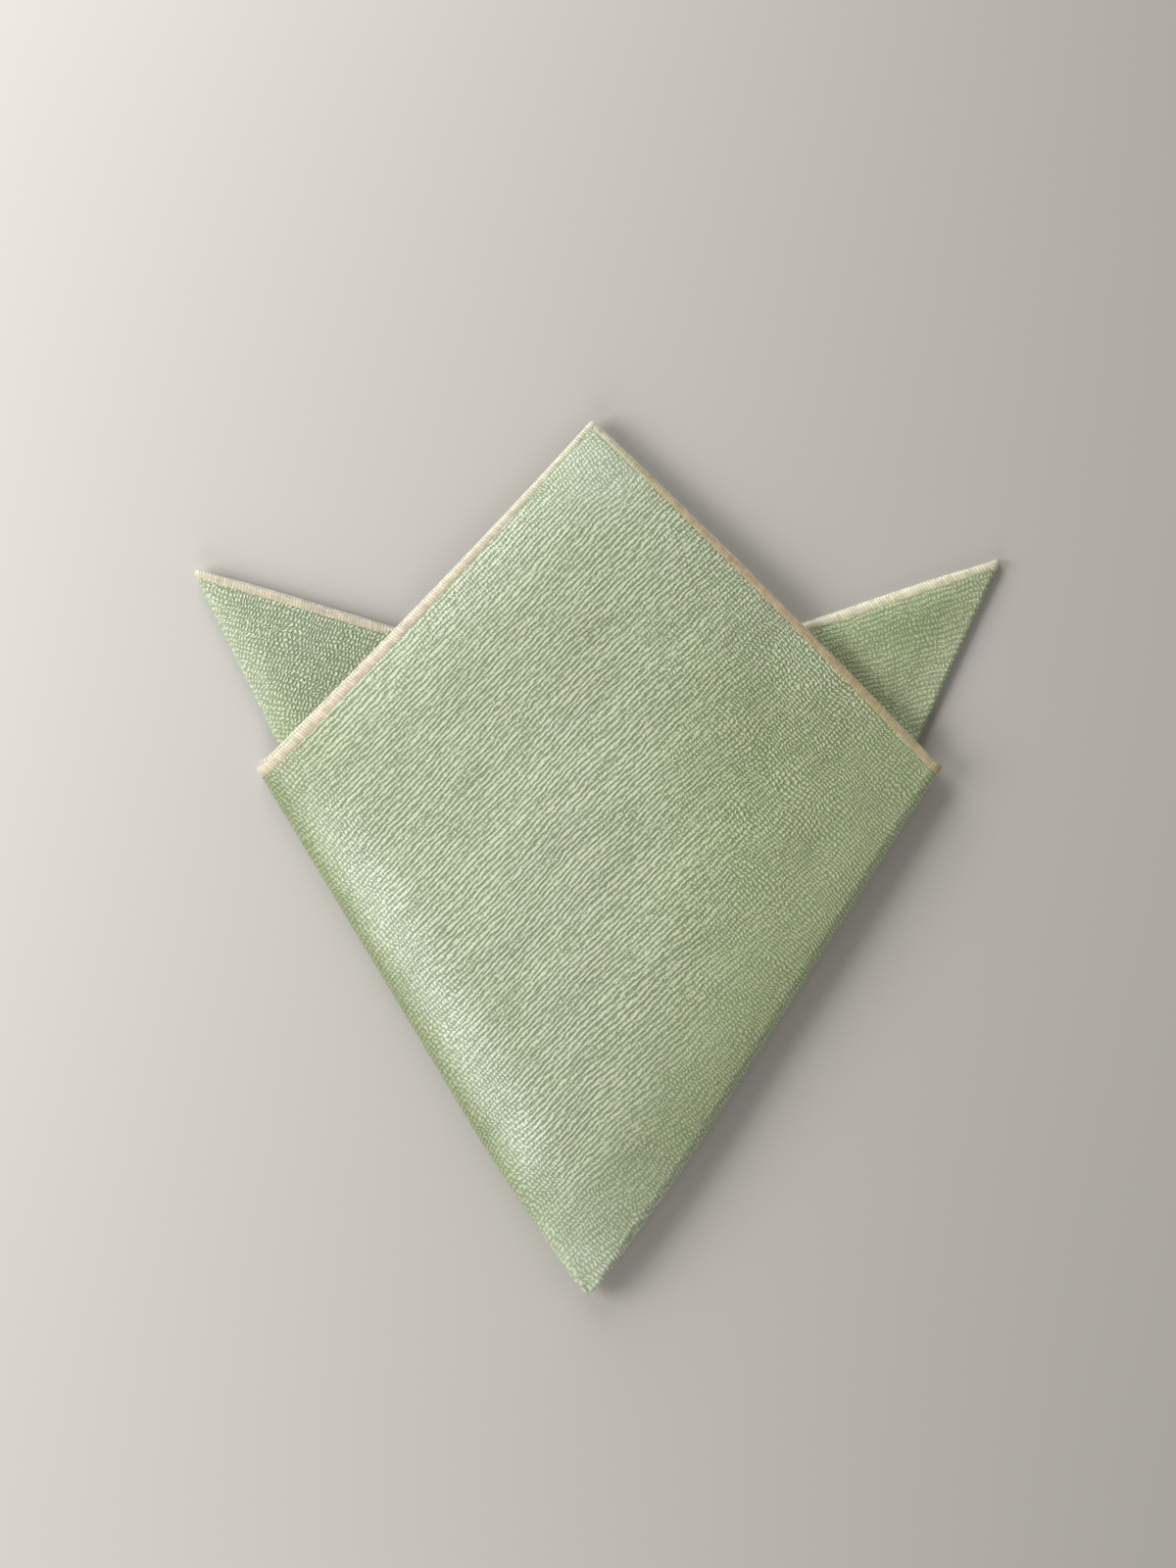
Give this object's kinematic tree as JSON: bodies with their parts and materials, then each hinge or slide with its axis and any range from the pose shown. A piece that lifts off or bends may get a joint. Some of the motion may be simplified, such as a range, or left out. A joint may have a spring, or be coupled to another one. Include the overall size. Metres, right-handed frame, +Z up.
{
  "type": "handkerchief",
  "caption": "Square woven pocket handkerchief, folded into a kite with a pointed ear at each side, its edge bound with a stitched hem.",
  "frame": {"origin": "on the resting plane, under the middle of the folded outline", "axes": "+Y from the bottom tip to the free corners, +Z up out of the front panel, +X to the panel's right"},
  "size_m": [0.1962, 0.2121, 0.0118],
  "materials": {
    "cloth": "woven, ribbed, soft sheen",
    "hem_thread": "stitched cream thread"
  },
  "bodies": {
    "root": {"cloth": "cloth", "hem": "hem_thread"}
  },
  "joints": []
}
